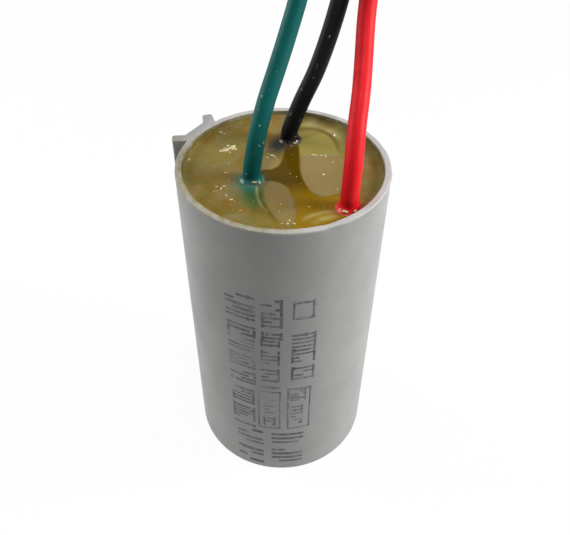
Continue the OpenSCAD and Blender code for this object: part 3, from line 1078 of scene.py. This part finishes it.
# Section of the resin climbed up a lead: shares of the collar's width and of its height.
COLLAR_SHAPE = ((1.2, -0.05), (0.95, 0.02), (0.45, 0.3), (0.2, 0.55), (0.07, 0.8), (-0.02, 1.0))
# Side on which each collar is widest, in degrees from the right, seen from the front.
COLLAR_BULGES = {"green": -120, "black": 0, "red": -110}


def add_collar(colour, settings, leads):
    """Resin that has climbed a lead, as a ring round its foot."""
    radius = leads.diameter / 2
    inner, buried = radius - COLLAR_STEP, SURFACE_Z - 0.25 * MM
    outer = smooth_path([
        (radius + share * settings.collar_width, SURFACE_Z + rise * settings.collar_height, 0)
        for share, rise in COLLAR_SHAPE], COLLAR_STEP)
    section = [
        (inner, outer[-1].y), *[(p.x, p.y) for p in reversed(outer)],
        (outer[0].x, buried), (inner, buried)]
    foot = lead_exit(colour)
    bulge = FRONT + math.pi / 2 + math.radians(COLLAR_BULGES[colour])
    vertices = []
    for k in range(COLLAR_SIDES):
        a = 2 * math.pi * k / COLLAR_SIDES
        lean = 1 + 0.25 * math.cos(a - bulge) + 0.08 * math.sin(3 * a + foot.x * 900)
        for r, z in section:
            spread = radius + (r - radius) * (lean if r > radius else 1)
            height = SURFACE_Z + (z - SURFACE_Z) * (0.5 + 0.5 * lean if z > SURFACE_Z else 1)
            vertices.append((foot.x + spread * math.cos(a), foot.y + spread * math.sin(a), height))
    collar = new_piece(
        colour + "_collar", vertices, weave(COLLAR_SIDES, len(section), loop=True))
    paint(collar, tinted_resin(
        colour + "_collar_resin", getattr(leads, colour), settings.amber))
    settle(collar, "amber_resin")


class CAPACITOR_OT_resin(bpy.types.Operator):
    """Add the potting resin, with its meniscus and its painted reflections, highlights and shade
    """

    bl_idname = "capacitor.add_resin"
    bl_label = "Resin"

    def execute(self, context):
        settings = context.scene.capacitor.resin
        rings = round(BORE_R / settings.spacing)
        vertices, faces = revolve([
            (0, FLOOR_T), *arc((BORE_R - CORNER_R, FLOOR_T + CORNER_R), CORNER_R, -90, 0),
            (BORE_R, CAN_H / 2),
            *[(BORE_R * k / rings, SURFACE_Z) for k in range(rings, -1, -1)],
        ], RESIN_SIDES)
        x, y, z = np.array(vertices).T
        z = np.where(z > CAN_H / 2, surface_height(x, y, settings.meniscus), z)
        resin = new_piece("resin_fill", np.column_stack([x, y, z]), faces)
        for name, values in pour_pattern(x, y).items():
            carry(resin, name, values)
        paint(resin, cured_resin(settings))
        settle(resin, "amber_resin", "potting_resin")
        for colour in COLOURS:
            add_collar(colour, settings, context.scene.capacitor.leads)
        return {"FINISHED"}


# ---- bubbles ----

# The larger bubbles: millimetres right of the can's axis and behind it, half their length,
# their turn from the crosswise direction in degrees, and how far they stand over the pour.
# The last four stand on the lead collars as pale domes that are painted glints.
LONG_BUBBLES = (
    (-9.35, 4.8, 0.62, 20, 0), (-8.6, 5.4, 0.4, 40, 0), (-7.9, 6.1, 0.5, 25, 0),
    (-10.1, 10.0, 0.36, 0, 0), (-9.5, 9.7, 0.24, 60, 0), (-14.3, 2.2, 0.34, 80, 0),
    (-8.5, -0.9, 0.28, 0, 0), (-9.6, -4.4, 0.22, 30, 0), (-8.9, -4.8, 0.3, 70, 0),
    (-8.1, -6.4, 0.22, 0, 0), (-7.3, -7.4, 0.32, 20, 0), (-5.9, -9.9, 0.2, 0, 0),
    (4.5, 3.9, 0.36, 10, 0), (5.0, 3.8, 0.26, -20, 0), (5.7, 3.7, 0.34, 0, 0),
    (6.4, 3.8, 0.22, 30, 0), (8.1, 9.6, 0.44, 75, 0), (8.5, 9.3, 0.24, 30, 0),
    (5.9, -1.2, 0.28, 40, 0), (1.0, -1.0, 0.16, 0, 0), (3.7, -8.8, 0.18, 0, 0),
    (-1.6, 3.5, 0.46, -35, 0), (0.6, -12.6, 0.3, 30, 0), (0.9, -11.9, 0.22, 80, 0),
    # These four, lifted onto the lead collars, are pale domes that stand in for glints: painted
    # highlights.
    (-4.15, -3.75, 0.4, 0, 0.4), (1.75, 6.75, 0.32, 0, 0.35), (8.5, -10.3, 0.46, -20, 0.45),
    (9.95, -10.3, 0.3, 40, 0.45),
)
# Where small ones crowd: millimetres right of the axis and behind it, and how much.
CROWDS = (
    (-9.0, 5.1, 60), (-7.8, 6.0, 40), (-10.0, 10.0, 40), (-8.8, -5.0, 25), (-7.4, -8.0, 25),
    (5.4, 3.8, 40), (8.2, 9.4, 30), (-1.6, 3.6, 20), (1.2, -12.0, 25), (6.5, -9.5, 12),
)


def bubble_tree(skin):
    """Flat domes scattered over a surface, thicker where it carries a larger crowd number,
    and long ones on its loose points, which carry a length and a turn."""
    sheet = Growth("bubbles", {"Density": "Float", "Radius": "Float", "Seed": "Int"})
    given = sheet.given
    crowd, length = sheet.carried("crowd"), sheet.carried("length")
    points = sheet.geo("DistributePointsOnFaces", {
        "Mesh": given["Geometry"], "Density": sheet.times(given["Density"], crowd),
        "Seed": given["Seed"],
    })
    size = sheet.times(
        sheet.math("POWER", sheet.chance(0.0, 1.0), 2.5), sheet.ramp(crowd, 1, 12, 0.25, 1))
    size = sheet.times(sheet.math("ADD", size, 0.15), given["Radius"])
    ball = sheet.geo("MeshIcoSphere", {"Radius": 1.0, "Subdivisions": 2})
    domes = sheet.geo("InstanceOnPoints", {
        "Points": points, "Instance": ball,
        "Scale": sheet.xyz(size, size, sheet.times(size, 0.45)),
    })
    loose = sheet.geo("SeparateGeometry", {
        "Geometry": given["Geometry"], "Selection": sheet.math("GREATER_THAN", length, 0.0),
    })
    long_domes = sheet.geo("InstanceOnPoints", {
        "Points": loose, "Instance": ball,
        "Scale": sheet.xyz(length, sheet.times(length, 0.55), sheet.times(length, 0.4)),
        "Rotation": sheet.xyz(z=sheet.carried("turn")),
    })
    smooth = sheet.geo("SetShadeSmooth", {0: sheet.join(domes, long_domes)})
    return sheet.close(smooth, skin)


class CAPACITOR_OT_bubbles(bpy.types.Operator):
    """Add the small bubbles caught in the resin's surface, and pale domes on the lead collars that
    are painted glints
    """

    bl_idname = "capacitor.add_bubbles"
    bl_label = "Bubbles"

    def execute(self, context):
        settings = context.scene.capacitor.bubbles
        reach = context.scene.capacitor.resin.meniscus
        steps = (BORE_R - reach) * (2 * np.arange(SCATTER_ROWS) / (SCATTER_ROWS - 1) - 1)
        x, y = [a.ravel() for a in np.meshgrid(steps, steps)]
        among = [0.0] * len(x)
        spots = in_plan([place[:2] for place in LONG_BUBBLES])
        length, turn, lift = np.array(LONG_BUBBLES).T[2:]
        x = np.append(x, [place.x for place in spots])
        y = np.append(y, [place.y for place in spots])
        z = surface_height(x, y, reach)
        z[len(among):] += lift * MM
        bubbles = new_piece(
            "resin_bubbles", np.column_stack([x, y, z]),
            weave(SCATTER_ROWS, SCATTER_ROWS, ring=False))
        crowd = np.where(np.hypot(x, y) < BORE_R - reach, 1.0, 0.0)
        for right, back, strength in CROWDS:
            crowd *= 1 + strength * spot(x, y, right, back, 0.9, 0.5, 0.3)
        carry(bubbles, "crowd", crowd)
        carry(bubbles, "length", [*among, *length * MM])
        carry(bubbles, "turn", [*among, *FRONT + math.pi / 2 + np.radians(turn)])
        grow(bubbles, bubble_tree(bubble_skin()), {
            "Density": settings.density, "Radius": settings.radius, "Seed": settings.seed})
        settle(bubbles, "amber_resin")
        return {"FINISHED"}


# ---- imprint ----

# Rows of plain strokes: (place across, top, bottom, height of a stroke, its thickness, pitch,
# strokes in a group, faintness). Millimetres; the place is measured along the can's round, to
# the right of the front's middle, and the rows run down the can.
ROWS = (
    (-6.5, 48.0, 38.6, 4.9, 0.46, 0.9, 7, 0.0),
    (-6.6, 37.4, 26.4, 4.7, 0.42, 0.8, 5, 0.15),
    (-6.7, 24.2, 13.8, 4.3, 0.44, 0.85, 6, 0.1),
    (-1.5, 47.0, 38.8, 3.3, 0.46, 0.85, 9, 0.0),
    (-1.8, 38.0, 26.2, 3.1, 0.4, 0.9, 5, 0.05),
    (3.5, 39.4, 28.6, 3.9, 0.4, 0.85, 14, 0.0),
    (-2.0, 22.6, 15.4, 2.2, 0.36, 0.9, 4, 0.2),
    (2.9, 25.6, 22.6, 2.8, 0.34, 0.5, 20, 0.2),
    (2.7, 20.6, 15.8, 2.2, 0.4, 0.85, 8, 0.1),
    (-5.7, 12.4, 2.2, 5.0, 0.7, 1.25, 5, 0.0),
    (1.2, 12.2, 3.2, 5.8, 0.7, 1.25, 6, 0.05),
)
# Plain outlined boxes: (left, top, right, bottom, width of the line), in the same way.
BOXES = (
    (1.9, 46.6, 4.9, 43.2, 0.5),
    (1.2, 25.8, 5.0, 14.2, 0.34),
    (-3.9, 24.9, -0.2, 14.2, 0.34),
)
BOX_STEP = 0.7  # millimetres between the points of a box's line
BOX_FAINTNESS = 0.15

SMALL_STROKE = 0.6 * MM  # strokes under this thickness may be joined by bars
EDGED_GROUPS = 0.6  # share of their groups with a bar along an edge
CROSSED_STROKES = 0.35  # share of them with a bar between


def stroke_tree(ink):
    """Strokes along each row, and lines, laid flat and then bent round the can."""
    sheet = Growth("imprint", {
        "Can radius": "Float", "Facing": "Float", "Lift": "Float", "Seed": "Int"})
    given = sheet.given
    tall, thick, pitch, run = [
        sheet.carried(name) for name in ("tall", "thick", "pitch", "group")]
    parts = sheet.add("GeometryNodeSeparateGeometry", {
        "Geometry": sheet.geo("MeshToCurve", {0: given["Geometry"]}),
        "Selection": sheet.math("GREATER_THAN", tall, 0.0),
    }, domain="CURVE").outputs
    rows, lines = [
        sheet.geo("ResampleCurve", {"Curve": part, "Length": pitch}, mode="LENGTH")
        for part in parts]
    dots = sheet.geo("CurveToPoints", {"Curve": rows}, mode="EVALUATED")
    index = sheet.geo("InputIndex")
    group = sheet.math("FLOOR", sheet.math("DIVIDE", index, run))
    spaces = sheet.math("LESS_THAN", sheet.math("MODULO", index, run), 1.0)
    dots = sheet.geo("DeleteGeometry", {"Geometry": dots, "Selection": spaces}, domain="POINT")
    brick = sheet.geo("MeshCube", {"Size": (1, 1, 1), "Vertices X": 10})
    deep = sheet.times(given["Lift"], 2.0)
    small = sheet.math("LESS_THAN", thick, SMALL_STROKE)

    def bars(across, along, aside, kept):
        """Flat bars on the dots, of a size across and along the row, moved across it."""
        moved = sheet.geo("SetPosition", {"Geometry": dots, "Offset": sheet.xyz(aside)})
        return sheet.geo("InstanceOnPoints", {
            "Points": moved, "Selection": kept, "Instance": brick,
            "Scale": sheet.xyz(across, along, deep)})

    def some(share, offset, which):
        """True for a share of the dots, or of the groups, in rows of small strokes."""
        lucky = sheet.math("LESS_THAN", sheet.chance(0.0, 1.0, offset, ID=which), share)
        return sheet.times(lucky, small)

    whole = sheet.times(tall, sheet.math("ROUND", sheet.chance(0.0, 1.0, 1, ID=index)))
    long = sheet.math("MAXIMUM", whole, sheet.times(tall, sheet.chance(0.3, 0.9, 2, ID=index)))
    slack = sheet.times(sheet.math("SUBTRACT", tall, long), 0.5)
    side = sheet.math("SIGN", sheet.chance(-1.0, 1.0, 4, ID=index))
    edge = sheet.times(sheet.math("SUBTRACT", tall, thick), 0.5)
    between = sheet.times(tall, sheet.chance(-0.4, 0.4, 7, ID=index))
    width = sheet.times(thick, sheet.chance(0.8, 1.2, 3, ID=index))
    reach = sheet.times(pitch, 1.02)
    upright = sheet.geo("SetCurveNormal", {0: lines}, mode="Z_UP")
    ribbon = sheet.geo("CurvePrimitiveQuadrilateral", {"Width": 1.0, "Height": 0.07})
    flat = sheet.geo("RealizeInstances", {0: sheet.join(
        bars(long, width, sheet.times(slack, side), True),
        bars(thick, reach, edge, some(EDGED_GROUPS, 5, group)),
        bars(thick, reach, sheet.times(edge, -1.0), some(EDGED_GROUPS, 6, group)),
        bars(thick, sheet.times(pitch, 0.9), between, some(CROSSED_STROKES, 8, index)),
        sheet.geo("CurveToMesh", {
            "Curve": upright, "Profile Curve": ribbon, "Scale": thick, "Fill Caps": True}),
    )})
    x, y, z = sheet.parts(sheet.geo("InputPosition"))
    turn = sheet.math("ADD", sheet.math("DIVIDE", x, given["Can radius"]), given["Facing"])
    radius = sheet.math("ADD", given["Can radius"], z)
    bent = sheet.xyz(
        sheet.times(radius, sheet.math("COSINE", turn)),
        sheet.times(radius, sheet.math("SINE", turn)), y)
    return sheet.close(sheet.geo("SetPosition", {"Geometry": flat, "Position": bent}), ink)


class CAPACITOR_OT_imprint(bpy.types.Operator):
    """Add the faded imprint, a block of plain strokes and boxes with no lettering"""

    bl_idname = "capacitor.add_imprint"
    bl_label = "Imprint"

    def execute(self, context):
        settings = context.scene.capacitor.imprint
        lines = [
            ((across, top), (across, bottom), sizes)
            for across, top, bottom, *sizes in ROWS]
        for left, top, right, bottom, line in BOXES:
            over, sizes = line / 2, (0.0, line, BOX_STEP, 1, BOX_FAINTNESS)
            lines += [
                ((left - over, top), (right + over, top), sizes),
                ((left - over, bottom), (right + over, bottom), sizes),
                ((left, top), (left, bottom), sizes), ((right, top), (right, bottom), sizes)]
        places = [(x * MM, y * MM, 0) for start, end, _ in lines for x, y in (start, end)]
        imprint = new_piece(
            "imprint", places, edges=[(2 * k, 2 * k + 1) for k in range(len(lines))])
        names = (("tall", MM), ("thick", MM), ("pitch", MM), ("group", 1), ("faint", 1))
        for k, (name, unit) in enumerate(names):
            carry(imprint, name, [sizes[k] * unit for _, _, sizes in lines for _ in range(2)])
        ink = faded_ink(settings.ink, context.scene.capacitor.can.plastic)
        grow(imprint, stroke_tree(ink), {
            "Can radius": CAN_R, "Facing": FRONT, "Lift": settings.lift,
            "Seed": settings.seed})
        settle(imprint, "can_grey")
        return {"FINISHED"}


# ---- pieces inside the resin ----

class CAPACITOR_OT_inside(bpy.types.Operator):
    """Give the winding, contacts, joints, wires and sleeves their finishes"""

    bl_idname = "capacitor.finish_inside"
    bl_label = "Inside"

    def execute(self, context):
        settings = context.scene.capacitor
        metallised = wound_film(
            "metallised_film", srgb(196, 199, 203), srgb(150, 153, 158), 0.85, 0.3)
        plain = wound_film("plain_film", srgb(232, 222, 170), srgb(206, 192, 128), 0.0, 0.25)
        zinc = sprayed_metal()
        finishes = {
            "winding_core": core_plastic(),
            "inner_section": metallised, "outer_section": metallised,
            "divider_wrap": plain, "outer_wrap": plain,
            "inner_top_contact": zinc, "outer_top_contact": zinc, "bottom_contact": zinc,
        }
        metal = tinned_copper("tinned_wire", settings.tips.metal)
        solder = solder_metal()
        for colour in COLOURS:
            finishes[colour + "_joint"] = solder
            finishes[colour + "_wire"] = metal
            finishes[colour + "_potted_sleeve"] = vinyl(
                colour + "_sleeve", getattr(settings.leads, colour), 0.0)
        for node, material in finishes.items():
            paint(frame["nodes"][node], material)
        return {"FINISHED"}


# ---- stage ----

# Lamps: name, side of the square, degrees right of the front, height, distance off the axis.
LAMPS = (
    ("key", 0.14, 87.0, 0.2, 0.3), ("fill", 0.2, -108.0, 0.2, 0.3),
    ("top", 0.3, 0.0, 0.45, 0.02), ("spark", 0.02, 20.0, 0.4, 0.03),
)


def show_white(tree, output, lit, white, share):
    """Gives a floor or a sky its shader for the light it sends on, and the white one, by
    share, where the camera, gloss or glass looks at it."""
    sheet = NodeSheet(tree)
    rays = sheet.add("ShaderNodeLightPath").outputs
    seen = sheet.math("MAXIMUM", rays["Is Camera Ray"], rays["Is Glossy Ray"])
    seen = sheet.math("MAXIMUM", seen, rays["Is Transmission Ray"])
    shown = sheet.out("ShaderNodeMixShader", {
        0: sheet.times(seen, share), 1: sheet.out(*lit), 2: sheet.out(*white)})
    tree.links.new(shown, tree.nodes[output].inputs["Surface"])


def add_lamp(name, power, size, facing, height, reach):
    """A soft square lamp that looks at the can. Facing is in degrees right of the front."""
    data = bpy.data.lights.new(name, "AREA")
    data.shape = "SQUARE"
    data.size = size
    data.energy = power
    lamp = bpy.data.objects.new(name, data)
    bpy.context.scene.collection.objects.link(lamp)
    turn = FRONT + math.radians(facing)
    place = Vector((reach * math.cos(turn), reach * math.sin(turn), height))
    aim = Vector((0, 0, CAN_H / 2)) - place
    turned = aim.to_track_quat("-Z", "Y").to_matrix().to_4x4()
    lamp.matrix_world = Matrix.Translation(place) @ turned


class CAPACITOR_OT_stage(bpy.types.Operator):
    """Add the pale floor, the daylight and the lamps"""

    bl_idname = "capacitor.add_stage"
    bl_label = "Stage"

    def execute(self, context):
        settings = context.scene.capacitor.stage
        half = settings.floor_size / 2
        floor = new_piece(
            "floor", [(-half, -half, 0), (half, -half, 0), (half, half, 0), (-half, half, 0)],
            [(0, 1, 2, 3)], smooth=False)
        material = bpy.data.materials.new("pale_floor")
        material.use_nodes = True
        material.node_tree.nodes.remove(material.node_tree.nodes["Principled BSDF"])
        show_white(
            material.node_tree, "Material Output",
            ("ShaderNodeBsdfDiffuse", {"Color": srgb(238, 238, 236)}),
            ("ShaderNodeEmission", {"Color": WHITE, "Strength": 1.0}), 0.95)
        paint(floor, material)

        world = bpy.data.worlds.new("daylight")
        world.use_nodes = True
        show_white(
            world.node_tree, "World Output",
            ("ShaderNodeBackground", {"Color": WHITE, "Strength": settings.daylight}),
            ("ShaderNodeBackground", {"Color": WHITE, "Strength": 1.0}), 1.0)
        context.scene.world = world

        for name, *place in LAMPS:
            add_lamp(name, getattr(settings, name + "_power"), *place)
        context.scene.view_settings.view_transform = "Standard"
        return {"FINISHED"}


# ---- add-on ----

class CAPACITOR_PT_panel(bpy.types.Panel):
    """Buttons and sizes of the capacitor"""

    bl_idname = "CAPACITOR_PT_panel"
    bl_label = "Motor Run Capacitor"
    bl_space_type = "VIEW_3D"
    bl_region_type = "UI"
    bl_category = "Capacitor"

    def draw(self, context):
        settings = context.scene.capacitor
        for operator, group in STEPS:
            box = self.layout.box()
            box.operator(operator.bl_idname)
            if group:
                chosen = getattr(settings, group)
                for name in chosen.__annotations__:
                    box.prop(chosen, name)


# Each step's operator, and the settings that go with its button.
STEPS = (
    (CAPACITOR_OT_camera, "camera"),
    (CAPACITOR_OT_leads, "leads"),
    (CAPACITOR_OT_can, "can"),
    (CAPACITOR_OT_resin, "resin"),
    (CAPACITOR_OT_bubbles, "bubbles"),
    (CAPACITOR_OT_imprint, "imprint"),
    (CAPACITOR_OT_inside, "tips"),
    (CAPACITOR_OT_stage, "stage"),
)
CLASSES = (
    CameraSettings, LeadSettings, TipSettings, CanSettings, ResinSettings, BubbleSettings,
    ImprintSettings, StageSettings, CapacitorSettings,
    *[operator for operator, _ in STEPS], CAPACITOR_PT_panel,
)


def register():
    for each in CLASSES:
        bpy.utils.register_class(each)
    bpy.types.Scene.capacitor = PointerProperty(type=CapacitorSettings)


def unregister():
    del bpy.types.Scene.capacitor
    for each in reversed(CLASSES):
        bpy.utils.unregister_class(each)


def main():
    register()
    bpy.ops.capacitor.add_camera()
    bpy.ops.capacitor.add_leads()
    bpy.ops.capacitor.add_can()
    bpy.ops.capacitor.add_resin()
    bpy.ops.capacitor.add_bubbles()
    bpy.ops.capacitor.add_imprint()
    bpy.ops.capacitor.finish_inside()
    bpy.ops.capacitor.add_stage()


if __name__ == "__main__":
    main()
